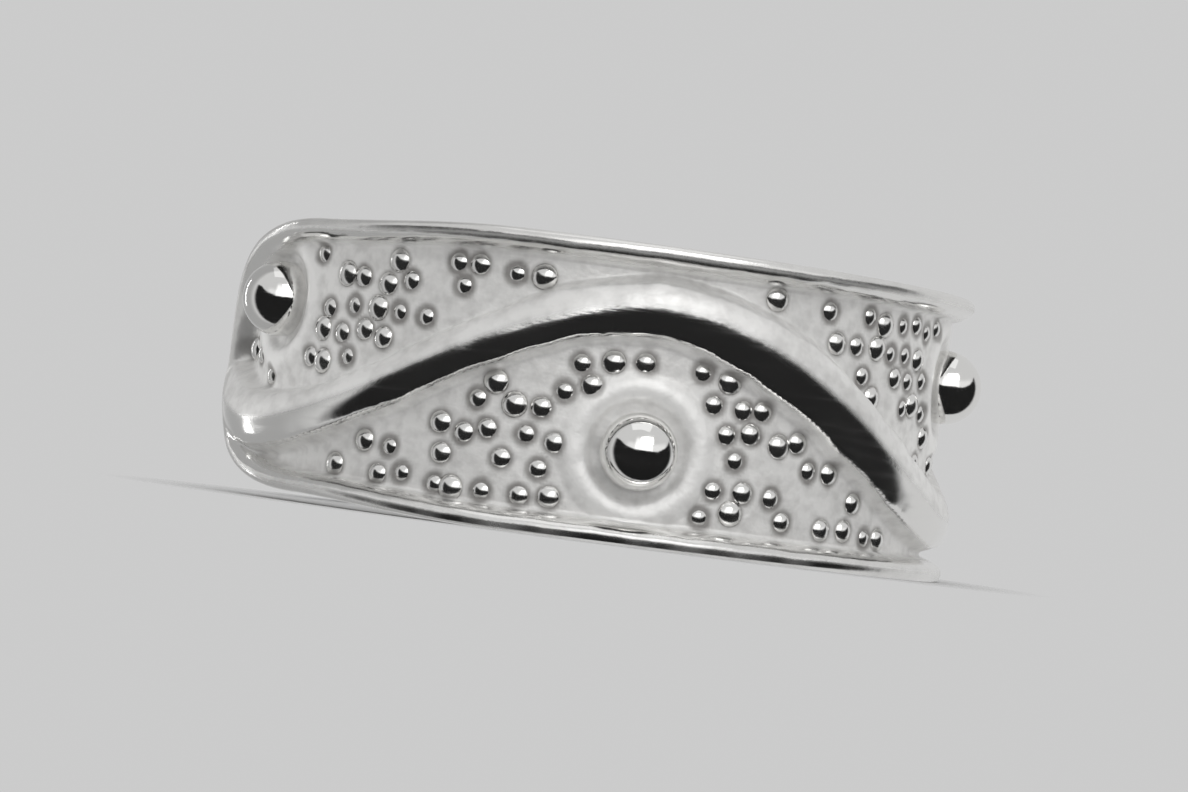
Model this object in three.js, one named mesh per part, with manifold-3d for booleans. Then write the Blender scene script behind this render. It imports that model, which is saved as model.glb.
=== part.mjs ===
// An ear cuff: an open band of cast silver that springs over the rim of an ear.
// It is one casting. A narrow raised border frames a sunk ground. On the ground a rounded ridge runs
// in a wave from end to end, and a ball in a ringed cup sits in each bend of the wave. Small grains
// cover what is left of the ground.
//
// Millimetres, +Z up. The cuff lies on its side, as a ring does: its axis is Z, the origin is on
// that axis at the level it rests on, and the opening between the two ends faces -X.
//
// The relief is drawn on a flat strip and then wrapped round the axis. On the strip, x runs along
// the band, y across it and z outwards from the sunk ground.

import * as THREE from "three";
import { mergeVertices } from "three/addons/utils/BufferGeometryUtils.js";
import Module from "manifold-3d";

// The band
const OUTER_RADIUS = 6.0; // over the raised border
const RELIEF_DEPTH = 0.4; // from the border's top down to the ground
const WALL = 0.7; // metal under the ground
const BAND_WIDTH = 4.6; // across the middle of the band
const END_WIDTH = 4.3; // where the rounded ends begin
const END_LENGTH = 3.7; // along the band, of each rounded end
const TAPER_LENGTH = 3.4; // over which the band narrows before each rounded end
const GAP = 2.4; // between the two ends, at the middle of the wall
const INNER_BEVEL = 0.2;
const OUTER_BEVEL = 0.12;

// The raised border
const BORDER_WIDTH = 0.36;
const BORDER_FLANK = 0.1; // how far the border's inner side leans

// The wave
const WAVE_SWING = 1.32; // of its crest from the band's middle
const END_SWING = 1.08; // of its last bends
const RIDGE_WIDTH = 0.98;
const RIDGE_HEIGHT = 0.44;

// The balls and the cups they sit in
const BALL_COUNT = 5;
const BALL_RADIUS = 0.6;
const BALL_LIFT = 0.1; // of the ball's centre above the ground
const BALL_OFFSET = 0.85; // of the ball's centre from the band's middle
const END_MARGIN = 2.25; // from the first and the last ball to the ends
const CUP_RADIUS = 0.91; // at the crown of the cup's lip
const LIP_WIDTH = 0.3;
const LIP_HEIGHT = 0.18;

// The grains, in staggered rows along the band
const GRAIN_RADIUS = 0.15;
const GRAIN_HEIGHT = 0.14;
const GRAIN_ROOT = 0.03; // of its foot below the ground
const GRAIN_GAP = 0.17; // between the feet of two grains in a row
const ROW_GAP = 0.12; // between the feet in neighbouring rows
const GRAIN_STRAY = 0.08; // how far each grain lies off its place in the row
const GRAIN_CLEARANCE = 0.02; // from a grain's foot to the border, the ridge and the cups

// How deep the ridge and the lips are rooted in the wall
const ROOT = 0.25;

// The ridge's section, as shares of half its width and of its height
const RIDGE_SECTION = [
  { side: 1.0, rise: 0.0 },
  { side: 0.88, rise: 0.54 },
  { side: 0.52, rise: 0.85 },
  { side: 0.16, rise: 1.0 },
  { side: -0.16, rise: 1.0 },
  { side: -0.52, rise: 0.85 },
  { side: -0.88, rise: 0.54 },
  { side: -1.0, rise: 0.0 },
];

// The lip's section, as shares of half its width and of its height
const LIP_SECTION = [
  { side: 1.0, rise: 0.0 },
  { side: 0.6, rise: 0.75 },
  { side: 0.0, rise: 1.0 },
  { side: -0.6, rise: 0.75 },
  { side: -1.0, rise: 0.0 },
];

// How far round its quarter ellipse a rounded end goes before its short straight tip
const TIP_TURN = THREE.MathUtils.degToRad(78);

// Facets
const MIDDLE_STEPS = 64;
const END_STEPS = 8;
const WAVE_STEPS = 72;
const BALL_SIDES = 16;
const BALL_RINGS = 8;
const LIP_SIDES = 24;
const GRAIN_SIDES = 4;
const SHORTEST_EDGE = 0.003; // what a cut or a join leaves shorter is drawn together

// Worked out from the sizes above
const GROUND_RADIUS = OUTER_RADIUS - RELIEF_DEPTH;
const INNER_RADIUS = GROUND_RADIUS - WALL;
const WALL_RADIUS = (OUTER_RADIUS + INNER_RADIUS) / 2;
const GAP_HALF_ANGLE = Math.asin(GAP / 2 / WALL_RADIUS);
const HALF_LENGTH = GROUND_RADIUS * (Math.PI - GAP_HALF_ANGLE);
const END_START = HALF_LENGTH - END_LENGTH;
const FIRST_BALL = END_MARGIN - HALF_LENGTH;
const BALL_PITCH = (-2 * FIRST_BALL) / (BALL_COUNT - 1);
const GRAIN_PITCH = 2 * GRAIN_RADIUS + GRAIN_GAP;
const ROW_PITCH = 2 * GRAIN_RADIUS + ROW_GAP;
const GOLDEN_ANGLE = Math.PI * (3 - Math.sqrt(5));

const wasm = await Module();
wasm.setup();

// Half the strip's width at a place along it, on the outline drawn in by inset. Past the drawn-in tip
// it is none.
function halfWidth(along, inset) {
  const past = Math.abs(along) - END_START;
  if (past > END_LENGTH - inset) {
    return 0;
  }
  if (past > 0) {
    const turned = (past * Math.sin(TIP_TURN)) / (END_LENGTH - inset);
    return (END_WIDTH / 2 - inset) * Math.sqrt(1 - turned * turned);
  }
  const narrowed = THREE.MathUtils.smoothstep(past, -TAPER_LENGTH, 0);
  return THREE.MathUtils.lerp(BAND_WIDTH, END_WIDTH, narrowed) / 2 - inset;
}

// Where the outline drawn in by inset has its stations along the strip.
function stations(inset) {
  const middle = [];
  for (let i = 0; i <= MIDDLE_STEPS; i++) {
    middle.push(THREE.MathUtils.lerp(-END_START, END_START, i / MIDDLE_STEPS));
  }
  const end = [];
  for (let i = 1; i < END_STEPS; i++) {
    const turned = Math.sin((TIP_TURN * i) / END_STEPS) / Math.sin(TIP_TURN);
    end.push(END_START + (END_LENGTH - inset) * turned);
  }
  end.push(END_START + END_LENGTH - inset);
  return [...end.map((along) => -along).reverse(), ...middle, ...end];
}

// A closed solid through sections with the same number of points each. A section's points run
// counter-clockwise seen from the strip's far end.
function loft(sections) {
  const count = sections[0].length;
  const last = (sections.length - 1) * count;
  const indices = [];
  for (let start = 0; start < last; start += count) {
    for (let j = 0; j < count; j++) {
      const a = start + j;
      const b = start + ((j + 1) % count);
      indices.push(a, b, b + count, a, b + count, a + count);
    }
  }
  for (let j = 1; j + 1 < count; j++) {
    indices.push(0, j + 1, j);
    indices.push(last, last + j, last + j + 1);
  }
  const geometry = new THREE.BufferGeometry().setFromPoints(sections.flat());
  geometry.setIndex(indices);
  return geometry;
}

// Wraps a flat piece round the cuff's axis.
function wrap(geometry) {
  const position = geometry.getAttribute("position");
  for (let i = 0; i < position.count; i++) {
    const angle = position.getX(i) / GROUND_RADIUS;
    const radius = GROUND_RADIUS + position.getZ(i);
    const height = position.getY(i) + BAND_WIDTH / 2;
    position.setXYZ(i, radius * Math.cos(angle), radius * Math.sin(angle), height);
  }
  return geometry;
}

// A closed geometry as a solid that can be cut and joined.
function solid(geometry) {
  geometry.deleteAttribute("normal");
  geometry.deleteAttribute("uv");
  const merged = mergeVertices(geometry);
  const vertProperties = merged.getAttribute("position").array;
  const triVerts = new Uint32Array(merged.index.array);
  const tolerance = SHORTEST_EDGE;
  return new wasm.Manifold(new wasm.Mesh({ numProp: 3, vertProperties, triVerts, tolerance }));
}

// The plain bent strip, with its edges bevelled.
function blank() {
  const top = RELIEF_DEPTH;
  const sections = stations(0).map((along) => {
    const half = halfWidth(along, 0);
    return [
      new THREE.Vector3(along, INNER_BEVEL - half, -WALL),
      new THREE.Vector3(along, half - INNER_BEVEL, -WALL),
      new THREE.Vector3(along, half, INNER_BEVEL - WALL),
      new THREE.Vector3(along, half, top - OUTER_BEVEL),
      new THREE.Vector3(along, half - OUTER_BEVEL, top),
      new THREE.Vector3(along, OUTER_BEVEL - half, top),
      new THREE.Vector3(along, -half, top - OUTER_BEVEL),
      new THREE.Vector3(along, -half, INNER_BEVEL - WALL),
    ];
  });
  return solid(wrap(loft(sections)));
}

// What lies inside the outline drawn in by inset, from floor to roof, with sides that lean outwards.
function field(inset, floor, roof, lean) {
  const sections = stations(inset).map((along) => {
    const half = halfWidth(along, inset);
    return [
      new THREE.Vector3(along, -half, floor),
      new THREE.Vector3(along, half, floor),
      new THREE.Vector3(along, half + lean, roof),
      new THREE.Vector3(along, -half - lean, roof),
    ];
  });
  return solid(wrap(loft(sections)));
}

// The recess that leaves the border standing. It goes on above the border's top at the same lean.
function recess() {
  const roof = 2 * RELIEF_DEPTH;
  return field(BORDER_WIDTH, 0, roof, (BORDER_FLANK * roof) / RELIEF_DEPTH);
}

// How far across the strip the wave's crest line is, and how steeply it runs there.
function wave(along) {
  const toEnd = THREE.MathUtils.smoothstep(Math.abs(along), -FIRST_BALL - BALL_PITCH, -FIRST_BALL);
  const swing = THREE.MathUtils.lerp(WAVE_SWING, END_SWING, toEnd);
  const turn = (Math.PI * (along - FIRST_BALL)) / BALL_PITCH;
  const slope = (swing * Math.PI * Math.sin(turn)) / BALL_PITCH;
  return { across: -swing * Math.cos(turn), slope };
}

// The wave ridge, each section square to the wave's own run.
function waveRidge() {
  const reach = HALF_LENGTH - BORDER_WIDTH / 2;
  const root = [
    { side: -1, rise: -ROOT / RIDGE_HEIGHT },
    { side: 1, rise: -ROOT / RIDGE_HEIGHT },
  ];
  const profile = [...root, ...RIDGE_SECTION];
  const sections = [];
  for (let i = 0; i <= WAVE_STEPS; i++) {
    const along = THREE.MathUtils.lerp(-reach, reach, i / WAVE_STEPS);
    const { across, slope } = wave(along);
    const squareOff = RIDGE_WIDTH / 2 / Math.hypot(1, slope);
    sections.push(
      profile.map(
        ({ side, rise }) =>
          new THREE.Vector3(
            along - side * squareOff * slope,
            across + side * squareOff,
            rise * RIDGE_HEIGHT,
          ),
      ),
    );
  }
  return solid(wrap(loft(sections)));
}

// Where each ball stands on the strip: they alternate between the two sides of the wave.
function ballPlaces() {
  return Array.from({ length: BALL_COUNT }, (_, k) => ({
    along: FIRST_BALL + k * BALL_PITCH,
    across: k % 2 === 0 ? BALL_OFFSET : -BALL_OFFSET,
  }));
}

// The raised lip round one ball's cup.
function cupLip({ along, across }) {
  const root = [
    { side: -1, rise: -ROOT / LIP_HEIGHT },
    { side: 1, rise: -ROOT / LIP_HEIGHT },
  ];
  const profile = [...root, ...LIP_SECTION, root[0]].map(
    ({ side, rise }) =>
      new THREE.Vector2(CUP_RADIUS + (side * LIP_WIDTH) / 2, rise * LIP_HEIGHT),
  );
  const ring = new THREE.LatheGeometry(profile, LIP_SIDES);
  ring.rotateX(Math.PI / 2); // the lathe's axis turned outwards from the strip
  ring.translate(along, across, 0);
  return solid(wrap(ring));
}

// One ball, kept a true sphere, with a pole at its outermost point.
function ball({ along, across }) {
  const sphere = new THREE.SphereGeometry(BALL_RADIUS, BALL_SIDES, BALL_RINGS);
  sphere.rotateZ(-Math.PI / 2);
  sphere.translate(GROUND_RADIUS + BALL_LIFT, 0, BAND_WIDTH / 2 + across);
  sphere.rotateZ(along / GROUND_RADIUS);
  return solid(sphere);
}

// How far a place on the ground is from the nearest of the border, the ridge and the cups.
function clearGround(along, across) {
  const border = halfWidth(along, BORDER_WIDTH) - Math.abs(across);
  const crest = wave(along);
  const ridge = Math.abs(across - crest.across) / Math.hypot(1, crest.slope) - RIDGE_WIDTH / 2;
  const cups = ballPlaces().map(
    (place) => Math.hypot(along - place.along, across - place.across) - CUP_RADIUS - LIP_WIDTH / 2,
  );
  return Math.min(border, ridge, ...cups);
}

// Where the grains stand. Each lies a little off its place in the row, in a direction that turns by
// the golden angle from one grain to the next.
function grainPlaces() {
  const rows = Math.ceil(BAND_WIDTH / 2 / ROW_PITCH);
  const perRow = Math.ceil((2 * HALF_LENGTH) / GRAIN_PITCH);
  const places = [];
  for (let i = 0; i < (2 * rows + 1) * perRow; i++) {
    const row = Math.floor(i / perRow);
    const stagger = (row % 2) / 2;
    const turn = GOLDEN_ANGLE * i;
    const along =
      GRAIN_PITCH * ((i % perRow) + stagger) - HALF_LENGTH + GRAIN_STRAY * Math.cos(turn);
    const across = ROW_PITCH * (row - rows) + GRAIN_STRAY * Math.sin(turn);
    if (clearGround(along, across) > GRAIN_RADIUS + GRAIN_CLEARANCE) {
      places.push({ along, across });
    }
  }
  return places;
}

// One grain, a low point with a few sides.
function grain({ along, across }) {
  const height = GRAIN_HEIGHT + GRAIN_ROOT;
  const footRadius = (GRAIN_RADIUS * height) / GRAIN_HEIGHT;
  const cone = new THREE.ConeGeometry(footRadius, height, GRAIN_SIDES);
  cone.rotateX(Math.PI / 2);
  cone.translate(along, across, height / 2 - GRAIN_ROOT);
  return solid(wrap(cone));
}

// The whole casting as one solid.
function casting() {
  const places = ballPlaces();
  const band = blank().subtract(recess());
  const lips = places.map(cupLip);
  const relief = lips.reduce((sum, lip) => sum.add(lip), waveRidge());
  const inside = field(BORDER_WIDTH / 2, -2 * ROOT, OUTER_RADIUS, 0);
  const grains = grainPlaces().map(grain);
  const granulation = grains.reduce((sum, grain) => sum.add(grain));
  const decorated = band.add(relief.intersect(inside)).add(granulation);
  return places.map(ball).reduce((sum, bead) => sum.add(bead), decorated);
}

function toGeometry(manifold) {
  const { vertProperties, triVerts } = manifold.getMesh();
  const geometry = new THREE.BufferGeometry();
  geometry.setAttribute("position", new THREE.BufferAttribute(vertProperties, 3));
  geometry.setIndex(new THREE.BufferAttribute(triVerts, 1));
  geometry.computeVertexNormals();
  return geometry;
}

const silver = new THREE.MeshStandardMaterial({
  name: "cast_silver",
  color: 0xdcdbd8,
  metalness: 1.0,
  roughness: 0.22,
});

const earCuff = new THREE.Group();
const cuffBand = new THREE.Mesh(toGeometry(casting()), silver);
cuffBand.name = "cuff_band";
earCuff.add(cuffBand);

export default earCuff;
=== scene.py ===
# An ear cuff of cast silver: an open band with a wave, balls in ringed cups and fine grains between
# raised borders. Metres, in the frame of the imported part: the cuff lies on its side, +Z along its
# axis, with the opening between its ends towards -X.
import math

import bpy
from mathutils import Matrix, Vector


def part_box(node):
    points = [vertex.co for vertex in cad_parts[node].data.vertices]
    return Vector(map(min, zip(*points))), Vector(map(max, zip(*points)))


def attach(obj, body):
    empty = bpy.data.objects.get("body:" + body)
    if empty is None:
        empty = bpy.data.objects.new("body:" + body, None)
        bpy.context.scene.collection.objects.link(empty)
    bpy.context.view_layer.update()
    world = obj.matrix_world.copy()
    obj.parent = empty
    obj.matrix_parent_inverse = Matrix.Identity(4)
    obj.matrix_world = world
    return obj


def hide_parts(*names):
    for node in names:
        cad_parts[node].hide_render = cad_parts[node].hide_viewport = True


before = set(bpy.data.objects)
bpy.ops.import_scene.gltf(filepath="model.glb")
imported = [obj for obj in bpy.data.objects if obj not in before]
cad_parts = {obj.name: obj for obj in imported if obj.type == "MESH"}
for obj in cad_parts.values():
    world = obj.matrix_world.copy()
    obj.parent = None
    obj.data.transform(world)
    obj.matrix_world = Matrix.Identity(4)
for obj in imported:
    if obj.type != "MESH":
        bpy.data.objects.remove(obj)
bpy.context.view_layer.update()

# The casting
# An open band of sterling silver, narrower towards its two rounded ends, with its border, wave and cups
# out of the same mould. It is drawn on a flat strip, along the band, across it and up from its sunk
# ground, and the strip is then wrapped round the axis of the cuff.
MM = 0.001
low, high = (Vector(corner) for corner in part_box("cuff_band"))
ball_radius = 0.6 * MM
ball_lift = 0.1 * MM
# Nothing reaches further from the axis than the balls, so the ground is found from them.
ground_radius = high.x - ball_lift - ball_radius
band_width = high.z - low.z
wall = 0.7 * MM
border_height = 0.4 * MM
gap = 2.4 * MM
end_length = 3.7 * MM
wall_radius = ground_radius + (border_height - wall) / 2
half_length = ground_radius * (math.pi - math.asin(gap / 2 / wall_radius))
band_plan = {
    "Ground Radius": ground_radius,
    "Band Width": band_width,
}
end_plan = {
    "End Width": 4.3 * MM,
    "End Start": half_length - end_length,
    "End Length": end_length,
    "Taper Length": 3.4 * MM,
}


class Wire:
    """A number or a vector on its way through a node tree. Sums of wires become Math nodes."""

    def __init__(self, tree, socket):
        self.tree = tree
        self.socket = socket

    def math(self, operation, *others):
        node = self.tree.nodes.new("ShaderNodeMath")
        node.operation = operation
        for socket, value in zip(node.inputs, (self, *others)):
            plug(self.tree, socket, value)
        return Wire(self.tree, node.outputs[0])

    def __add__(self, other):
        return self.math("ADD", other)

    def __sub__(self, other):
        return self.math("SUBTRACT", other)

    def __mul__(self, other):
        return self.math("MULTIPLY", other)

    def __truediv__(self, other):
        return self.math("DIVIDE", other)

    def __rsub__(self, other):
        return (self * -1.0) + other

    def __neg__(self):
        return self * -1.0

    __radd__ = __add__
    __rmul__ = __mul__

    def abs(self):
        return self.math("ABSOLUTE")

    def sign(self):
        return self.math("SIGN")

    def sin(self):
        return self.math("SINE")

    def cos(self):
        return self.math("COSINE")

    def sqrt(self):
        return self.math("SQRT")

    def floor(self):
        return self.math("FLOOR")

    def power(self, exponent):
        return self.math("POWER", exponent)

    def least(self, other):
        return self.math("MINIMUM", other)

    def most(self, other):
        return self.math("MAXIMUM", other)

    def over(self, other):
        return self.math("GREATER_THAN", other)

    def join_up(self, other, softness):
        """The higher of two heights, with a soft inner corner where they cross."""
        return self.math("SMOOTH_MAX", other, softness)

    def remap(self, start, end, to_start=0.0, to_end=1.0, kind="LINEAR"):
        node = self.tree.nodes.new("ShaderNodeMapRange")
        node.interpolation_type = kind
        for name, value in (
            ("Value", self),
            ("From Min", start),
            ("From Max", end),
            ("To Min", to_start),
            ("To Max", to_end),
        ):
            plug(self.tree, node.inputs[name], value)
        return Wire(self.tree, node.outputs["Result"])

    def ease(self, start, end):
        """From 0 at the start to 1 at the end, with no corner on the way."""
        return self.remap(start, end, kind="SMOOTHSTEP")

    def choose(self, otherwise, then):
        """This wire picks: 0 gives the first value and 1 the second."""
        return otherwise + self * (then - otherwise)


def plug(tree, socket, value):
    if isinstance(value, Wire):
        tree.links.new(value.socket, socket)
    else:
        socket.default_value = value


def put(tree, kind, settings=(), **sockets):
    """Adds a node with its settings and gives each named socket a value or a wire."""
    node = tree.nodes.new(kind)
    for name, value in dict(settings).items():
        setattr(node, name, value)
    for name, value in sockets.items():
        plug(tree, node.inputs[name.replace("_", " ")], value)
    return node


def wired(tree, kind, settings=(), **sockets):
    """Adds a node and gives the wire that comes out of it."""
    return Wire(tree, put(tree, kind, settings, **sockets).outputs[0])


def vector(tree, x=0.0, y=0.0, z=0.0):
    return wired(tree, "ShaderNodeCombineXYZ", X=x, Y=y, Z=z)


def axis(tree, wire, name):
    return Wire(tree, put(tree, "ShaderNodeSeparateXYZ", Vector=wire).outputs[name])


def length(first, second):
    """How long something is that reaches so far one way and so far square to it."""
    return (first * first + second * second).sqrt()


def outline(size, run):
    """Where the upper edge of the strip is at a run along it, and which way is inwards from there."""
    past = run.abs() - size["End Start"]
    turn = (past / size["End Length"]).most(0.0)
    half_end = size["End Width"] / 2
    along = run.abs().least(size["End Start"]) + size["End Length"] * turn.sin()
    taper = past.ease(-size["Taper Length"], 0.0)
    narrowed = taper.choose(size["Band Width"] / 2, half_end)
    half = narrowed * turn.cos()
    inward_along = -(half_end * turn.sin())
    inward_across = -(size["End Length"] * turn.cos())
    whole = length(inward_along, inward_across)
    return along, half, inward_along / whole, inward_across / whole


def half_width(size, along):
    """Half the width of the strip at a place along it."""
    past = along.abs() - size["End Start"]
    taper = past.ease(-size["Taper Length"], 0.0)
    narrowed = taper.choose(size["Band Width"], size["End Width"]) / 2
    turned = (past / size["End Length"]).most(0.0).least(1.0)
    return narrowed * (1.0 - turned * turned).sqrt()


def wrapped(tree, size, along, across, height):
    """A place on the strip, wrapped round the axis of the cuff."""
    angle = along / size["Ground Radius"]
    radius = size["Ground Radius"] + height
    return vector(tree, radius * angle.cos(), radius * angle.sin(), across + size["Band Width"] / 2)


# The border is a narrow raised edge along both sides and round both ends. The wheel has crowned its
# top, and its inner side starts as a bright slope and then drops to the ground.
border_plan = {"Border Width": 0.36 * MM}
border_relief = {
    "Border Height": border_height,
    "Crown Depth": 0.05 * MM,
}
TOP_SHARE = 0.5
FOOT_SHARE = 1.06
CROWN_MIDDLE = 0.55
SLOPE_SHARE = 0.3
DROP_POWER = 5.0
EDGE_LINE_POINTS = 1200


def line_along(tree, shape, start, end):
    """A thin line on the flat strip, through places given by a run from start to end."""
    line = wired(tree, "GeometryNodeMeshLine", Count=EDGE_LINE_POINTS)
    number = wired(tree, "GeometryNodeInputIndex")
    run = number.remap(0.0, EDGE_LINE_POINTS - 1.0, start, end)
    return wired(tree, "GeometryNodeSetPosition", Geometry=line, Position=shape(run))


def away_from(tree, lines, place):
    """How far a place is from the nearest of some lines."""
    node = put(tree, "GeometryNodeProximity", {"target_element": "EDGES"})
    plug(tree, node.inputs[0], lines)
    plug(tree, node.inputs["Sample Position"], place)
    return Wire(tree, node.outputs["Distance"])


def joined(tree, *meshes):
    node = tree.nodes.new("GeometryNodeJoinGeometry")
    for mesh in meshes:
        tree.links.new(mesh.socket, node.inputs[0])
    return Wire(tree, node.outputs[0])


def last_run(size):
    """The run along the outline at which it closes round the tip of an end."""
    return size["End Start"] + size["End Length"] * (math.pi / 2)


def raised_border(tree, size, place, along):
    """The height of the border at a place on the strip, and how far it is polished there."""

    def upper(run):
        x, y, _, _ = outline(size, run)
        return vector(tree, run.sign() * x, y)

    def lower(run):
        x, y, _, _ = outline(size, run)
        return vector(tree, run.sign() * x, -y)

    far = last_run(size)
    edges = joined(tree, line_along(tree, upper, -far, far), line_along(tree, lower, -far, far))
    from_edge = away_from(tree, edges, place)
    flat_top = size["Border Width"] * TOP_SHARE
    drop = ((from_edge - flat_top) / (size["Border Width"] * FOOT_SHARE - flat_top)).most(0.0)
    fall = drop * SLOPE_SHARE + drop.power(DROP_POWER) * (1 - SLOPE_SHARE)
    crown = from_edge / flat_top - CROWN_MIDDLE
    height = size["Border Height"] * (1.0 - fall) - crown * crown * size["Crown Depth"]

    on_border = (height / size["Border Height"]).remap(0.05, 0.2)
    tip = (along.abs() - size["End Start"]) / size["End Length"]
    slope = from_edge.remap(flat_top * 0.9, flat_top * 1.2, 0.4, 0.95)
    slope = slope * tip.remap(0.7, 0.92, 1.0, 0.3) * drop.remap(0.55, 0.8, 1.0, 0.2)
    rim = from_edge.remap(flat_top * 0.75, flat_top * 0.56, 0.4, 0.85)
    return height, on_border * slope.most(rim)


# The wave is a round-backed ridge that swings from side to side, once round each ball. It was shaped
# by hand in the wax, so it leans a little and varies in width, and its lower side is burnished.
ball_count = 5
end_margin = 2.25 * MM
first_ball = end_margin - half_length
ball_plan = {
    "First Ball": first_ball,
    "Ball Pitch": -2 * first_ball / (ball_count - 1),
    "Ball Offset": 0.85 * MM,
}
wave_plan = {
    "Wave Swing": 1.32 * MM,
    "End Swing": 1.08 * MM,
    "Ridge Width": 0.98 * MM,
}
wave_relief = {
    "Ridge Height": 0.44 * MM,
    "Ridge Wobble": 0.16,
    "Ridge Lean": 0.04,
    "Slope Lean": 0.36,
    "Foot Slope": 1.9,
}
WOBBLE_SCALE = 1100.0
STEEP_SHARE = 0.3
BACK_ROUND = 0.52
BACK_DEPTH = 1.47
FOOT_START = 0.82
ROUNDED_SHARE = 0.04


def wave(size, along):
    """How far across the strip the crest of the wave is, and how steeply it runs there."""
    last = -size["First Ball"]
    to_end = along.abs().ease(last - size["Ball Pitch"], last)
    swing = to_end.choose(size["Wave Swing"], size["End Swing"])
    turn = (along - size["First Ball"]) / size["Ball Pitch"] * math.pi
    return -(turn.cos() * swing), turn.sin() * swing * math.pi / size["Ball Pitch"]


def cloud(tree, place, scale, detail=1.0, seed=0.0):
    """Soft noise between -1 and 1."""
    settings = {"noise_dimensions": "4D"}
    node = put(
        tree, "ShaderNodeTexNoise", settings, Vector=place, W=seed, Scale=scale, Detail=detail
    )
    factor = node.outputs.get("Fac") or node.outputs["Factor"]
    return (Wire(tree, factor) - 0.5) * 2.0


def raised_wave(tree, size, place, along, across, rounded):
    """The height of the ridge at a place on the strip, and how far it is burnished there."""

    def crest(run):
        return vector(tree, run, wave(size, run)[0])

    reach = size["End Start"] + size["End Length"] - size["Border Width"] / 2
    crests = line_along(tree, crest, -reach, reach)
    wobble = cloud(tree, place, WOBBLE_SCALE, 2.0, size["Random Seed"] + 9.0)
    away = away_from(tree, crests, place) * (1.0 + wobble * size["Ridge Wobble"])
    crest_line, slope = wave(size, along)
    half_ridge = size["Ridge Width"] / 2 * (1.0 - slope * STEEP_SHARE)
    from_crest = away / half_ridge
    back = (1.0 - from_crest * from_crest * BACK_ROUND).most(0.0).sqrt() * BACK_DEPTH
    foot = (from_crest - FOOT_START).most(0.0) * size["Foot Slope"]
    upward = away * (across - crest_line).sign()
    lean = slope.join_up(0.0, 0.15) * size["Slope Lean"] + size["Ridge Lean"]
    shape = (back - (BACK_DEPTH - 1) - foot) * (rounded * ROUNDED_SHARE + 1.0)
    height = size["Ridge Height"] * shape - lean * (upward + half_ridge / 2)
    lower_side = (upward / half_ridge).remap(-0.08, 0.2, 1.0, 0.12)
    return height, (height / size["Ridge Height"]).remap(0.42, 0.66) * lower_side


# A cup is a low ring round a ball, with a shallow groove inside it. Its ring is kept lighter: the
# painted shade round the grains is taken off it, and wear leaves it clear of the dull blotches.
cup_relief = {
    "Cup Radius": 0.98 * MM,
    "Lip Width": 0.5 * MM,
    "Lip Height": 0.075 * MM,
    "Groove Radius": 0.6 * MM,
    "Groove Width": 0.4 * MM,
    "Groove Depth": 0.07 * MM,
}


def laid_out(tree, count, along, across):
    """A cloud of points on the flat strip."""
    position = vector(tree, along, across)
    return wired(tree, "GeometryNodePoints", Count=count, Position=position, Radius=0.0)


def ball_points(tree, size):
    """The middles of the cups, which lie by turns above and below the middle of the strip."""
    number = wired(tree, "GeometryNodeInputIndex")
    side = 1.0 - number.math("MODULO", 2.0) * 2.0
    along = size["First Ball"] + number * size["Ball Pitch"]
    return laid_out(tree, ball_count, along, side * size["Ball Offset"])


def from_nearest(tree, points, place):
    """How far a place is from the nearest point of a cloud."""
    number = wired(tree, "GeometryNodeSampleNearest", Geometry=points, Sample_Position=place)
    position = wired(tree, "GeometryNodeInputPosition")
    settings = {"data_type": "FLOAT_VECTOR"}
    sample = wired(
        tree, "GeometryNodeSampleIndex", settings, Geometry=points, Value=position, Index=number
    )
    away = put(tree, "ShaderNodeVectorMath", {"operation": "DISTANCE"})
    plug(tree, away.inputs[0], sample)
    plug(tree, away.inputs[1], place)
    return Wire(tree, away.outputs["Value"])


def raised_cups(size, from_ball):
    """The height of the ring and the depth of the groove, at a distance from a ball."""
    across_lip = (from_ball - size["Cup Radius"]) / (size["Lip Width"] / 2)
    lip = size["Lip Height"] * (1.0 - across_lip * across_lip).most(0.0).power(1.5)
    across_groove = (from_ball - size["Groove Radius"]) / (size["Groove Width"] / 2)
    groove = size["Groove Depth"] * (1.0 - across_groove * across_groove).most(0.0)
    return lip, groove


# Grains are strewn in rough rows over the sunk ground, wherever the border, the wave and the cups
# leave room, and here and there one is missing. Painted shade darkens the ground round their feet.
grain_radius = 0.15 * MM
grain_pitch = 2 * grain_radius + 0.17 * MM
row_pitch = 2 * grain_radius + 0.12 * MM
grain_plan = {
    "Grain Radius": grain_radius,
    "Grain Pitch": grain_pitch,
    "Row Pitch": row_pitch,
    "Grain Stray": 0.1 * MM,
    "Cup Rim": 1.06 * MM,
    "Left Out": 0.24,
}
STRAY_ACROSS = 0.8
RANDOM_SEED = 7


def chance(tree, number, seed):
    """A random number between -1 and 1 for each number."""
    settings = {"data_type": "FLOAT"}
    node = put(tree, "FunctionNodeRandomValue", settings, ID=number, Seed=RANDOM_SEED + seed)
    plug(tree, node.inputs[2], -1.0)
    plug(tree, node.inputs[3], 1.0)
    return Wire(tree, node.outputs[1])


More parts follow.
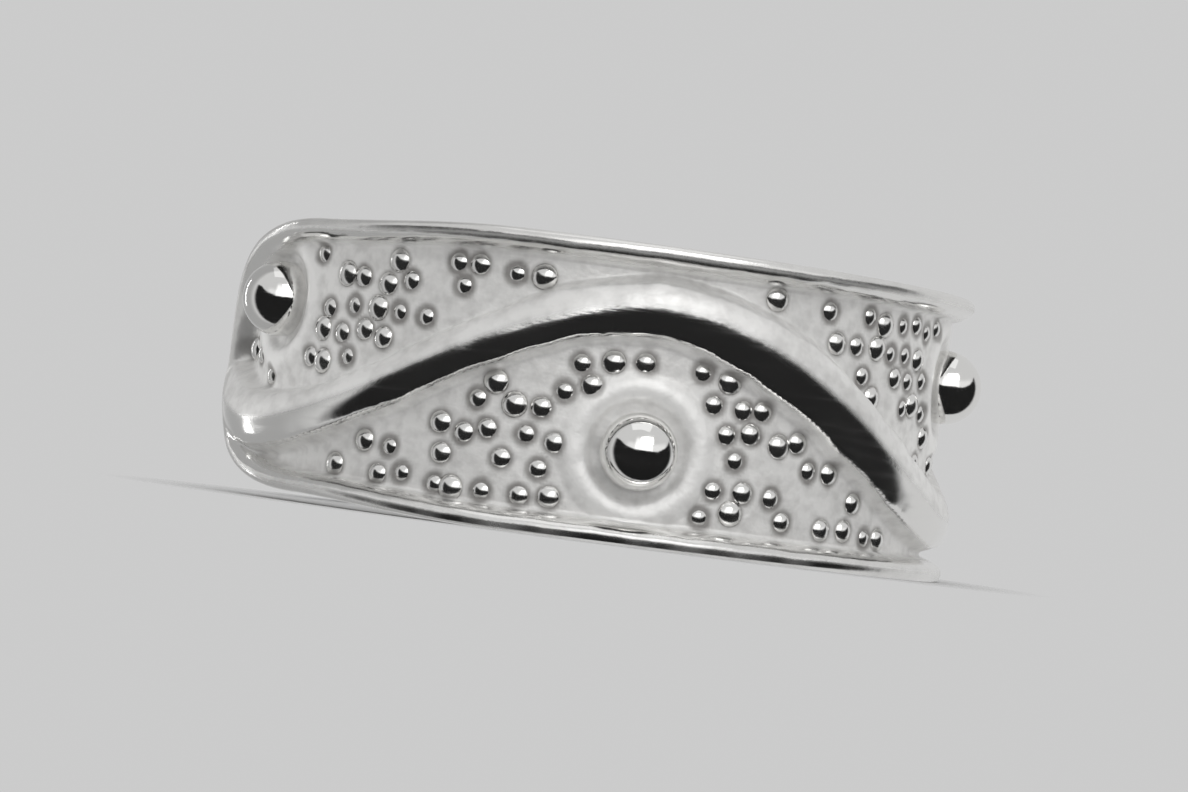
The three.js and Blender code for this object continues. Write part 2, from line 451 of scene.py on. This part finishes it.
def grain_points(tree, size, balls):
    """Staggered rows of points wherever the ground is clear."""
    per_row = math.ceil(2 * half_length / grain_pitch)
    rows = math.ceil(band_width / 2 / row_pitch)
    number = wired(tree, "GeometryNodeInputIndex")
    row = (number / per_row).floor()
    place = number - row * per_row
    stagger = row.math("MODULO", 2.0) / 2
    stray_along = chance(tree, number, 1) * size["Grain Stray"]
    stray_across = chance(tree, number, 2) * size["Grain Stray"] * STRAY_ACROSS
    along = (place + stagger) * size["Grain Pitch"] - half_length + stray_along
    across = (row - rows) * size["Row Pitch"] + stray_across
    grains = laid_out(tree, (2 * rows + 1) * per_row, along, across)

    here = wired(tree, "GeometryNodeInputPosition")
    along = axis(tree, here, "X")
    across = axis(tree, here, "Y")
    border = half_width(size, along) - size["Border Width"] - across.abs()
    crest, slope = wave(size, along)
    ridge = (across - crest).abs() / (slope * slope + 1.0).sqrt() - size["Ridge Width"] / 2
    cups = from_nearest(tree, balls, here) - size["Cup Rim"]
    crowded = size["Grain Radius"].over(border.least(ridge).least(cups))
    missing = (size["Left Out"] * 2.0 - 1.0).over(chance(tree, number, 3))
    left_out = crowded.most(missing)
    point = {"domain": "POINT"}
    return wired(tree, "GeometryNodeDeleteGeometry", point, Geometry=grains, Selection=left_out)


# The silver is left as it comes from the pickle and the wheel: bright with fine scratches along the
# band where it stands out, and a sandy, mottled satin with dull blotches where it is sunk. Painted
# shade darkens the sunk ground round the grains' feet.
CLEAN_SILVER = (0.88, 0.875, 0.86, 1.0)
# The dark silver that the sunk ground mixes in, for its dull blotches and for the painted shade round
# the grains.
STAINED_SILVER = (0.30, 0.29, 0.28, 1.0)
SCRATCH_STRETCH = (0.04, 1.0, 1.0)
FINE_SCRATCH_STRETCH = (0.025, 1.0, 1.0)
BLOTCH_ROUGHNESS = 0.12
SCUFF_ROUGHNESS = 0.07
SAND_ROUGHNESS = 0.2
BLOTCH_DULLNESS = 0.26
MOTTLE_DULLNESS = 0.22
# How far the painted shade round the grains darkens the ground.
STAIN_DULLNESS = 0.85
WAVE_BUMP = 0.0045 * MM
SAND_BUMP = 0.004 * MM
MOTTLE_BUMP = 0.014 * MM
SCRATCH_BUMP = 0.0014 * MM
LEAST_ROUGHNESS = 0.03
SATIN_METALLIC = 0.32
silver_skin = bpy.data.node_groups.new("silver_skin", "ShaderNodeTree")
for label, kind in (
    ("Place", "NodeSocketVector"),
    ("Raised", "NodeSocketFloat"),
    ("Polished", "NodeSocketFloat"),
    ("Satin", "NodeSocketFloat"),
    ("Ripple", "NodeSocketFloat"),
    # Painted shade round the grains, which darkens the sunk silver.
    ("Stain", "NodeSocketFloat"),
):
    silver_skin.interface.new_socket(label, in_out="INPUT", socket_type=kind)
for label, kind in (
    ("Color", "NodeSocketColor"),
    ("Roughness", "NodeSocketFloat"),
    ("Metallic", "NodeSocketFloat"),
    ("Height", "NodeSocketFloat"),
):
    silver_skin.interface.new_socket(label, in_out="OUTPUT", socket_type=kind)


def skin_noise(scale, detail, stretch=(1.0, 1.0, 1.0)):
    """Noise between 0 and 1 on the silver, drawn out along the band by a stretch."""
    mapped = wired(silver_skin, "ShaderNodeMapping", Vector=skin_place, Scale=stretch)
    node = put(silver_skin, "ShaderNodeTexNoise", Vector=mapped, Scale=scale, Detail=detail)
    return Wire(silver_skin, node.outputs.get("Fac") or node.outputs["Factor"])


entry = silver_skin.nodes.new("NodeGroupInput")
skin_place, raised, polished, satin, ripple, stain = (
    Wire(silver_skin, socket) for socket in entry.outputs[:6]
)
blotches = skin_noise(scale=700.0, detail=3.0)
waves = skin_noise(scale=1600.0, detail=1.5)
mottled = skin_noise(scale=4200.0, detail=2.0)
sand = skin_noise(scale=14000.0, detail=4.0)
scratches = skin_noise(scale=9000.0, detail=3.0, stretch=SCRATCH_STRETCH)
fine_scratches = skin_noise(scale=26000.0, detail=2.0, stretch=FINE_SCRATCH_STRETCH)
scuffed = scratches.ease(0.52, 0.72) * raised
sunk = 1.0 - raised
rough = raised.choose(satin, polished) + (blotches - 0.5) * BLOTCH_ROUGHNESS
rough = rough + scuffed * SCUFF_ROUGHNESS
rough = rough + (sand - 0.5) * sunk * SAND_ROUGHNESS
dull = blotches.remap(0.3, 0.75) * BLOTCH_DULLNESS + mottled.remap(0.42, 0.68) * MOTTLE_DULLNESS
# Painted shade: the ground is darkened round each grain's foot, where shade falls.
dull = dull + stain * STAIN_DULLNESS
dullness = (sunk * dull).most(0.0).least(1.0)
skin_height = waves * ripple * WAVE_BUMP + sand * (sunk * 0.8 + 0.1) * SAND_BUMP
skin_height = skin_height + mottled * sunk * MOTTLE_BUMP
skin_height = skin_height + (scratches * 0.5 + fine_scratches * 0.3) * raised * SCRATCH_BUMP
tone = put(silver_skin, "ShaderNodeMix", {"data_type": "RGBA"}, Factor=dullness)
plug(silver_skin, tone.inputs[6], CLEAN_SILVER)
plug(silver_skin, tone.inputs[7], STAINED_SILVER)
finish = silver_skin.nodes.new("NodeGroupOutput")
plug(silver_skin, finish.inputs["Color"], Wire(silver_skin, tone.outputs[2]))
plug(silver_skin, finish.inputs["Roughness"], rough.most(LEAST_ROUGHNESS))
plug(silver_skin, finish.inputs["Metallic"], raised.remap(0.0, 0.8, SATIN_METALLIC, 1.0))
plug(silver_skin, finish.inputs["Height"], skin_height)


def silver(name, place_on, raised_on, stain_on, polished, satin, ripple):
    """A silver finish whose place, mask and painted shade are read from the piece."""
    material = bpy.data.materials.new(name)
    material.use_nodes = True
    tree = material.node_tree
    shader = tree.nodes["Principled BSDF"]
    skin = put(tree, "ShaderNodeGroup", {"node_tree": silver_skin})
    for label, value in (
        ("Place", place_on(tree)),
        ("Raised", raised_on(tree)),
        ("Polished", polished),
        ("Satin", satin),
        ("Ripple", ripple),
        ("Stain", stain_on(tree)),
    ):
        plug(tree, skin.inputs[label], value)
    bump = put(tree, "ShaderNodeBump", Strength=1.0, Distance=1.0)
    tree.links.new(skin.outputs["Height"], bump.inputs["Height"])
    tree.links.new(skin.outputs["Color"], shader.inputs["Base Color"])
    tree.links.new(skin.outputs["Roughness"], shader.inputs["Roughness"])
    tree.links.new(skin.outputs["Metallic"], shader.inputs["Metallic"])
    tree.links.new(bump.outputs["Normal"], shader.inputs["Normal"])
    return material


# Border, wave and cups are raised on one skin with the ground, and a smooth inside closes it. Inner
# corners stay soft, as wax leaves them, and no line is quite straight.
casting_sizes = {
    **band_plan,
    **end_plan,
    **border_plan,
    **border_relief,
    **wave_plan,
    **wave_relief,
    **ball_plan,
    **cup_relief,
    **grain_plan,
    "Wall": wall,
    "Outer Round": 0.11 * MM,
    "Inner Round": 0.2 * MM,
    "Corner Softness": 0.1 * MM,
    "Hand Wobble": 0.03 * MM,
    "Ground Lumps": 0.018 * MM,
    # How far out from each grain the painted shade on the ground reaches.
    "Stain Width": 0.11 * MM,
    # How much lighter each cup's ring is kept: it takes off the painted shade round the grains and the
    # dull blotches.
    "Clean Lip": 0.35,
    "Inside Polish": 0.5,
    "Random Seed": RANDOM_SEED,
}
ALONG_POINTS = 800
ACROSS_POINTS = 96
ROUND_POINTS = 3
SIDE_POINTS = 3
INNER_POINTS = 8
ROUNDED_SCALE = 900.0
SWAY_SCALE = 1500.0
LUMP_SCALE = 2600.0
CLOSING_REACH = 1e-7


def sized_tree(name, sizes):
    """A Geometry Nodes tree with a named input for each size, and the wires that come from them."""
    tree = bpy.data.node_groups.new(name, "GeometryNodeTree")
    for label, size in sizes.items():
        kind = "NodeSocketInt" if isinstance(size, int) else "NodeSocketFloat"
        tree.interface.new_socket(label, in_out="INPUT", socket_type=kind)
    tree.interface.new_socket("Geometry", in_out="OUTPUT", socket_type="NodeSocketGeometry")
    entry = tree.nodes.new("NodeGroupInput")
    return tree, {label: Wire(tree, entry.outputs[label]) for label in sizes}


def smooth(tree, mesh, where=True):
    """Shades the faces of a mesh as one round surface, all or only some of them."""
    return wired(tree, "GeometryNodeSetShadeSmooth", Geometry=mesh, Shade_Smooth=where)


def end_tree(tree, mesh, material):
    real = wired(tree, "GeometryNodeRealizeInstances", Geometry=mesh)
    coated = wired(tree, "GeometryNodeSetMaterial", Geometry=real, Material=material)
    finish = tree.nodes.new("NodeGroupOutput")
    tree.links.new(coated.socket, finish.inputs[0])


def grown(name, tree, sizes):
    """Runs a tree on an empty object and keeps what it makes as a plain mesh."""
    seedling = bpy.data.objects.new(name + "_tree", bpy.data.meshes.new(name + "_tree"))
    bpy.context.scene.collection.objects.link(seedling)
    modifier = seedling.modifiers.new(name, "NODES")
    modifier.node_group = tree
    for item in tree.interface.items_tree:
        if item.in_out == "INPUT":
            modifier[item.identifier] = sizes[item.name]
    bpy.context.view_layer.update()
    evaluated = seedling.evaluated_get(bpy.context.evaluated_depsgraph_get())
    mesh = bpy.data.meshes.new_from_object(evaluated)
    mesh.name = name
    seedling.modifiers.remove(modifier)
    bpy.data.objects.remove(seedling)
    piece = bpy.data.objects.new(name, mesh)
    bpy.context.scene.collection.objects.link(piece)
    return piece


def relief(tree, size, along, across):
    """The height of the casting above its ground at a place on the strip, how far it is
    polished there and how much painted shade darkens it round the grains."""
    seed = size["Random Seed"]
    drawn = vector(tree, along, across)
    rounded = cloud(tree, drawn, ROUNDED_SCALE, seed=seed)
    sway_along = cloud(tree, drawn, SWAY_SCALE, seed=seed + 3.0) * size["Hand Wobble"]
    sway_across = cloud(tree, drawn, SWAY_SCALE, seed=seed + 5.0) * size["Hand Wobble"]
    place = vector(tree, along + sway_along, across + sway_across)

    border, border_polish = raised_border(tree, size, place, along)
    ridge, ridge_polish = raised_wave(tree, size, place, along, across, rounded)
    balls = ball_points(tree, size)
    lip, groove = raised_cups(size, from_nearest(tree, balls, place))
    ground = (rounded + cloud(tree, place, LUMP_SCALE, 2.0, seed)) * size["Ground Lumps"]
    soft = size["Corner Softness"]
    height = (ground + lip - groove).join_up(border, soft).join_up(ridge, soft)

    grains = grain_points(tree, size, balls)
    from_grain = from_nearest(tree, grains, place) - size["Grain Radius"]
    # Painted shade: the ground darkens towards each grain's foot, and the rings of the cups are kept
    # lighter.
    stain = from_grain.ease(size["Stain Width"], 0.0) - lip / size["Lip Height"] * size["Clean Lip"]
    return height, border_polish.most(ridge_polish), stain


def stored(tree, mesh, name, kind, value):
    """Keeps a value on each point of a mesh, for the finish to read."""
    settings = {"data_type": kind, "domain": "POINT"}
    node = put(tree, "GeometryNodeStoreNamedAttribute", settings, Name=name)
    plug(tree, node.inputs["Geometry"], mesh)
    plug(tree, node.inputs["Value"], value)
    return Wire(tree, node.outputs[0])


def skin_grid(tree, size, rows):
    """A flat grid, with the run along the outline and the step across the strip of each point."""
    grid = put(
        tree, "GeometryNodeMeshGrid", Size_X=1.0, Size_Y=1.0, Vertices_X=ALONG_POINTS, Vertices_Y=rows
    )
    here = wired(tree, "GeometryNodeInputPosition")
    run = axis(tree, here, "X") * last_run(size) * 2.0
    step = axis(tree, here, "Y") * (rows - 1.0)
    return Wire(tree, grid.outputs["Mesh"]), run, step


def outer_skin(tree, size):
    """The face with the relief, its rounded outer edge and the side of the wall."""
    rows = ACROSS_POINTS + 2 * (ROUND_POINTS + SIDE_POINTS)
    mesh, run, step = skin_grid(tree, size, rows)
    face_steps = (ACROSS_POINTS - 1.0) / 2
    edge_along, edge_across, inward_along, inward_across = outline(size, run)
    radius = size["Outer Round"]
    bend = (step.abs() - face_steps).most(0.0).least(ROUND_POINTS) / ROUND_POINTS * (math.pi / 2)
    inset = radius * (1.0 - bend.sin())
    fall = radius * (1.0 - bend.cos())
    side = (step.abs() - face_steps - ROUND_POINTS).most(0.0) / SIDE_POINTS
    wall_side = size["Border Height"] + size["Wall"] - radius - size["Inner Round"]
    share = (step / face_steps).most(-1.0).least(1.0)
    along = run.sign() * (edge_along + inward_along * inset)
    across = share * (edge_across + inward_across * inset)
    flat_along = run.sign() * (edge_along + inward_along * radius)
    flat_across = share * (edge_across + inward_across * radius)
    height, polish, stain = relief(tree, size, flat_along, flat_across)
    strip = vector(tree, along, across, height - fall - side * wall_side)
    mesh = stored(tree, mesh, "strip", "FLOAT_VECTOR", strip)
    mesh = stored(tree, mesh, "polish", "FLOAT", polish)
    # Keeps the painted shade round the grains for the finish to read.
    mesh = stored(tree, mesh, "stain", "FLOAT", stain)
    level = side.choose(height - fall, size["Inner Round"] - size["Wall"])
    position = wrapped(tree, size, along, across, level)
    return wired(tree, "GeometryNodeSetPosition", Geometry=mesh, Position=position)


def inner_skin(tree, size):
    """The smooth inside of the band, with its rounded edge."""
    mesh, run, step = skin_grid(tree, size, INNER_POINTS + 2 * ROUND_POINTS)
    face_steps = (INNER_POINTS - 1.0) / 2
    edge_along, edge_across, inward_along, inward_across = outline(size, run)
    radius = size["Inner Round"]
    bend = (step.abs() - face_steps).most(0.0) / ROUND_POINTS * (math.pi / 2)
    inset = radius * (1.0 - bend.sin())
    rise = radius * (1.0 - bend.cos())
    share = (step / face_steps).most(-1.0).least(1.0)
    along = run.sign() * (edge_along + inward_along * inset)
    across = share * (edge_across + inward_across * inset)
    level = rise - size["Wall"]
    mesh = wired(tree, "GeometryNodeFlipFaces", Mesh=mesh)
    mesh = stored(tree, mesh, "strip", "FLOAT_VECTOR", vector(tree, along, across, level))
    mesh = stored(tree, mesh, "polish", "FLOAT", size["Inside Polish"])
    # No painted shade inside the band.
    mesh = stored(tree, mesh, "stain", "FLOAT", 0.0)
    position = wrapped(tree, size, along, across, level)
    return wired(tree, "GeometryNodeSetPosition", Geometry=mesh, Position=position)


def strip_place(tree):
    """Along, across and out of the band, in metres."""
    node = put(tree, "ShaderNodeAttribute", {"attribute_name": "strip"})
    return Wire(tree, node.outputs["Vector"])


def kept_value(name):
    """Reads a value that the mesh keeps on its points."""

    def read(tree):
        node = put(tree, "ShaderNodeAttribute", {"attribute_name": name})
        return Wire(tree, node.outputs["Fac"])

    return read


casting_tree, size = sized_tree("cast_band", casting_sizes)
skins = joined(casting_tree, outer_skin(casting_tree, size), inner_skin(casting_tree, size))
shortest = {"quad_method": "SHORTEST_DIAGONAL"}
halved = wired(casting_tree, "GeometryNodeTriangulate", shortest, Mesh=skins)
closed = wired(
    casting_tree, "GeometryNodeMergeByDistance", Geometry=halved, Distance=CLOSING_REACH
)
cast_silver = silver(
    "cast_silver",
    place_on=strip_place,
    raised_on=kept_value("polish"),
    # The painted shade round the grains darkens the cast silver.
    stain_on=kept_value("stain"),
    polished=0.13,
    satin=0.45,
    ripple=1.0,
)
end_tree(casting_tree, smooth(casting_tree, closed), cast_silver)
casting = grown("cuff_casting", casting_tree, casting_sizes)
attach(casting, "root")
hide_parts("cuff_band")

# The grains
# Each grain is a small dome of silver on the ground, cast with it and polished in the tumbler. No two
# are quite the same size.
grain_sizes = {
    **band_plan,
    **end_plan,
    **border_plan,
    **wave_plan,
    **ball_plan,
    **grain_plan,
    "Grain Ball": 0.23 * MM,
    "Grain Depth": 0.145 * MM,
    "Grain Cut": 0.5,
    "Smallest": 0.8,
    "Largest": 1.12,
    "Random Seed": RANDOM_SEED,
}
GRAIN_SUBDIVISIONS = 3
FOOT_FACING = -0.5


def round_the_band(tree, size, points, level):
    """Flat points, wrapped round the axis at a level above the ground."""
    here = wired(tree, "GeometryNodeInputPosition")
    position = wrapped(tree, size, axis(tree, here, "X"), axis(tree, here, "Y"), level)
    return wired(tree, "GeometryNodeSetPosition", Geometry=points, Position=position)


def dome(tree, radius, lowest):
    """The top of a ball, cut off flat at a level given as a share of its radius."""
    bead = put(tree, "GeometryNodeMeshIcoSphere", Radius=radius, Subdivisions=GRAIN_SUBDIVISIONS)
    bead = Wire(tree, bead.outputs["Mesh"])
    here = wired(tree, "GeometryNodeInputPosition")
    sunk = lowest.over(axis(tree, here, "Z") / radius)
    point = {"domain": "POINT"}
    cut = wired(tree, "GeometryNodeDeleteGeometry", point, Geometry=bead, Selection=sunk)
    closed = wired(tree, "GeometryNodeConvexHull", Geometry=cut)
    not_foot = axis(tree, wired(tree, "GeometryNodeInputNormal"), "Z").over(FOOT_FACING)
    return smooth(tree, closed, not_foot)


def set_on(tree, points, shape, scale):
    """A shape on each point of the wrapped strip, standing out from the axis."""
    here = wired(tree, "GeometryNodeInputPosition")
    outwards = vector(tree, axis(tree, here, "X"), axis(tree, here, "Y"))
    turned = wired(tree, "FunctionNodeAlignRotationToVector", {"axis": "Z"}, Vector=outwards)
    return wired(
        tree,
        "GeometryNodeInstanceOnPoints",
        Points=points,
        Instance=shape,
        Rotation=turned,
        Scale=vector(tree, scale, scale, scale),
    )


def object_place(tree):
    return Wire(tree, tree.nodes.new("ShaderNodeTexCoord").outputs["Object"])


def everywhere(tree):
    return 1.0


def nowhere(tree):
    return 0.0


grain_tree, size = sized_tree("grains", grain_sizes)
strewn = grain_points(grain_tree, size, ball_points(grain_tree, size))
strewn = round_the_band(grain_tree, size, strewn, -size["Grain Depth"])
uneven = put(
    grain_tree,
    "FunctionNodeRandomValue",
    {"data_type": "FLOAT"},
    Min=size["Smallest"],
    Max=size["Largest"],
    Seed=size["Random Seed"],
)
uneven = Wire(grain_tree, uneven.outputs[1])
strewn = set_on(grain_tree, strewn, dome(grain_tree, size["Grain Ball"], size["Grain Cut"]), uneven)
grain_silver = silver(
    "grain_silver", object_place, everywhere, nowhere, polished=0.17, satin=0.2, ripple=0.5
)
end_tree(grain_tree, strewn, grain_silver)
grains = grown("cuff_grains", grain_tree, grain_sizes)
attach(grains, "root")
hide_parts("cuff_band")

# The balls
# Five small balls of solid silver, cast with the band, one in the middle of each cup. They stand out
# furthest, so they are the brightest.
ball_sizes = {
    **band_plan,
    **ball_plan,
    "Ball Radius": ball_radius,
    "Ball Lift": ball_lift,
}
BALL_SUBDIVISIONS = 5
ball_tree, size = sized_tree("balls", ball_sizes)
placed = round_the_band(ball_tree, size, ball_points(ball_tree, size), size["Ball Lift"])
bead = put(
    ball_tree,
    "GeometryNodeMeshIcoSphere",
    Radius=size["Ball Radius"],
    Subdivisions=BALL_SUBDIVISIONS,
)
bead = smooth(ball_tree, Wire(ball_tree, bead.outputs["Mesh"]))
ball_silver = silver(
    "ball_silver", object_place, everywhere, nowhere, polished=0.08, satin=0.2, ripple=0.5
)
end_tree(ball_tree, set_on(ball_tree, placed, bead, 1.0), ball_silver)
balls = grown("cuff_balls", ball_tree, ball_sizes)
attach(balls, "root")
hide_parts("cuff_band")

# The floor
# A matt, pale floor that the cuff lies on. It takes the cuff's shadow, fades out of sight round it and
# isn't mirrored in the silver.
FLOOR_GREY = 0.6
FLOOR_REACH = 0.5
FADE_START = 5.6 * MM
FADE_END = 8.0 * MM
scene = bpy.context.scene
scene.view_settings.view_transform = "Standard"
corners = [(x * FLOOR_REACH, y * FLOOR_REACH, 0) for x, y in ((-1, -1), (1, -1), (1, 1), (-1, 1))]
floor_mesh = bpy.data.meshes.new("floor")
floor_mesh.from_pydata(corners, [], [(0, 1, 2, 3)])
floor = bpy.data.objects.new("floor", floor_mesh)
scene.collection.objects.link(floor)
floor_paint = bpy.data.materials.new("floor_paint")
floor_paint.use_nodes = True
paint_tree = floor_paint.node_tree
shader = paint_tree.nodes["Principled BSDF"]
shader.inputs["Base Color"].default_value = (FLOOR_GREY, FLOOR_GREY, FLOOR_GREY, 1)
shader.inputs["Roughness"].default_value = 1.0
shader.inputs["Specular IOR Level"].default_value = 0.0
from_axis = put(paint_tree, "ShaderNodeVectorMath", {"operation": "LENGTH"})
plug(paint_tree, from_axis.inputs[0], object_place(paint_tree))
from_axis = Wire(paint_tree, from_axis.outputs["Value"])
shown = from_axis.remap(FADE_START, FADE_END, 1.0, 0.0, kind="SMOOTHSTEP")
plug(paint_tree, shader.inputs["Alpha"], shown)
floor_mesh.materials.append(floor_paint)
floor.visible_glossy = False

# The light
# The silver mirrors a light room that is dark low down on the camera's side, with two soft boxes above
# the dark. A broad lamp in front, a narrow one behind on the left and one overhead add to it. Turns
# and rises are in degrees, and turns are counted from the camera's side.
CAMERA_TURN = math.radians(10)
BACKDROP = 0.6
ROOM = 0.64
DARK = 0.012
FILL = 0.86
LEFT_SHADE = 0.4
LOW_BOX_GLOW = 0.22
HIGH_BOX_GLOW = 0.5
CARD_TURN = 20
LOW_BOX_TURN = 25
HIGH_BOX_TURN = 14
LEFT_TURN = -128
OPEN_TURN = -138
LEAST_LEVEL = 1e-4
world = bpy.data.worlds.new("studio")
scene.world = world
world.use_nodes = True
room_tree = world.node_tree
background = room_tree.nodes["Background"]
direction = Wire(room_tree, room_tree.nodes.new("ShaderNodeTexCoord").outputs["Generated"])
upward = axis(room_tree, direction, "Z")


def facing(turn):
    """The cosine of the level angle between the direction looked in and a turn."""
    turn = math.radians(turn) + CAMERA_TURN
    east, north = axis(room_tree, direction, "X"), axis(room_tree, direction, "Y")
    level = length(east, north).most(LEAST_LEVEL)
    return (east * math.sin(turn) - north * math.cos(turn)) / level


in_front = facing(0).ease(-0.42, -0.22) * facing(OPEN_TURN).ease(0.66, 0.45)
below_card = facing(CARD_TURN).remap(0.06, 0.85, 0.42, 0.09)
dark = (below_card - upward).ease(-0.03, 0.03) * in_front
low_box = facing(LOW_BOX_TURN).ease(0.3, 0.6) * upward.ease(0.5, 0.3)
high_box = facing(HIGH_BOX_TURN).ease(0.86, 0.93) * upward.ease(0.76, 0.52)
left = facing(LEFT_TURN).ease(0.72, 0.95)
room = (1.0 - left * LEFT_SHADE) * ROOM + low_box * LOW_BOX_GLOW + high_box * HIGH_BOX_GLOW
rays = room_tree.nodes.new("ShaderNodeLightPath")
seen = Wire(room_tree, rays.outputs["Is Glossy Ray"]).choose(BACKDROP, dark.choose(room, DARK))
seen = Wire(room_tree, rays.outputs["Is Diffuse Ray"]).choose(seen, FILL)
plug(room_tree, background.inputs["Strength"], seen)
background.inputs["Color"].default_value = (1, 1, 1, 1)


def way_to(turn, rise):
    """The direction at a turn from the camera's side and a rise, in degrees."""
    turn = math.radians(turn) + CAMERA_TURN
    rise = math.radians(rise)
    return Vector(
        (math.sin(turn) * math.cos(rise), -math.cos(turn) * math.cos(rise), math.sin(rise))
    )


def lamp(name, turn, rise, away, width, height, power):
    """A rectangular lamp that faces the cuff."""
    data = bpy.data.lights.new(name, "AREA")
    data.shape = "RECTANGLE"
    data.size = width
    data.size_y = height
    data.energy = power
    holder = bpy.data.objects.new(name, data)
    scene.collection.objects.link(holder)
    way = way_to(turn, rise)
    holder.location = way * away
    holder.rotation_euler = way.to_track_quat("Z", "Y").to_euler()


lamp("key", turn=LOW_BOX_TURN, rise=35, away=0.2, width=0.12, height=0.07, power=0.05)
lamp("strip", turn=LEFT_TURN, rise=4, away=0.2, width=0.006, height=0.12, power=0.015)
lamp("overhead", turn=0, rise=88, away=0.25, width=0.2, height=0.2, power=0.035)

# The camera
# The view of the photograph: across the cuff's side, a little round from the middle of the band and
# almost level, with the camera rolled a few degrees.
CAMERA_RISE = -1
CAMERA_ROLL = math.radians(7.4)
CAMERA_AWAY = 0.075
FRAME_WIDTH = 0.0195
SENSOR_WIDTH = 36
middle = Vector((0, 0, band_width / 2))
toward = way_to(0, CAMERA_RISE)
camera_data = bpy.data.cameras.new("camera")
camera = bpy.data.objects.new("camera", camera_data)
scene.collection.objects.link(camera)
roll = Matrix.Rotation(CAMERA_ROLL, 4, toward)
aim = (-toward).to_track_quat("-Z", "Y").to_matrix().to_4x4()
camera.matrix_world = Matrix.Translation(middle + toward * CAMERA_AWAY) @ roll @ aim
camera_data.sensor_width = SENSOR_WIDTH
camera_data.lens = SENSOR_WIDTH * CAMERA_AWAY / FRAME_WIDTH
camera_data.clip_start = 0.001
camera_data.clip_end = 10
scene.camera = camera
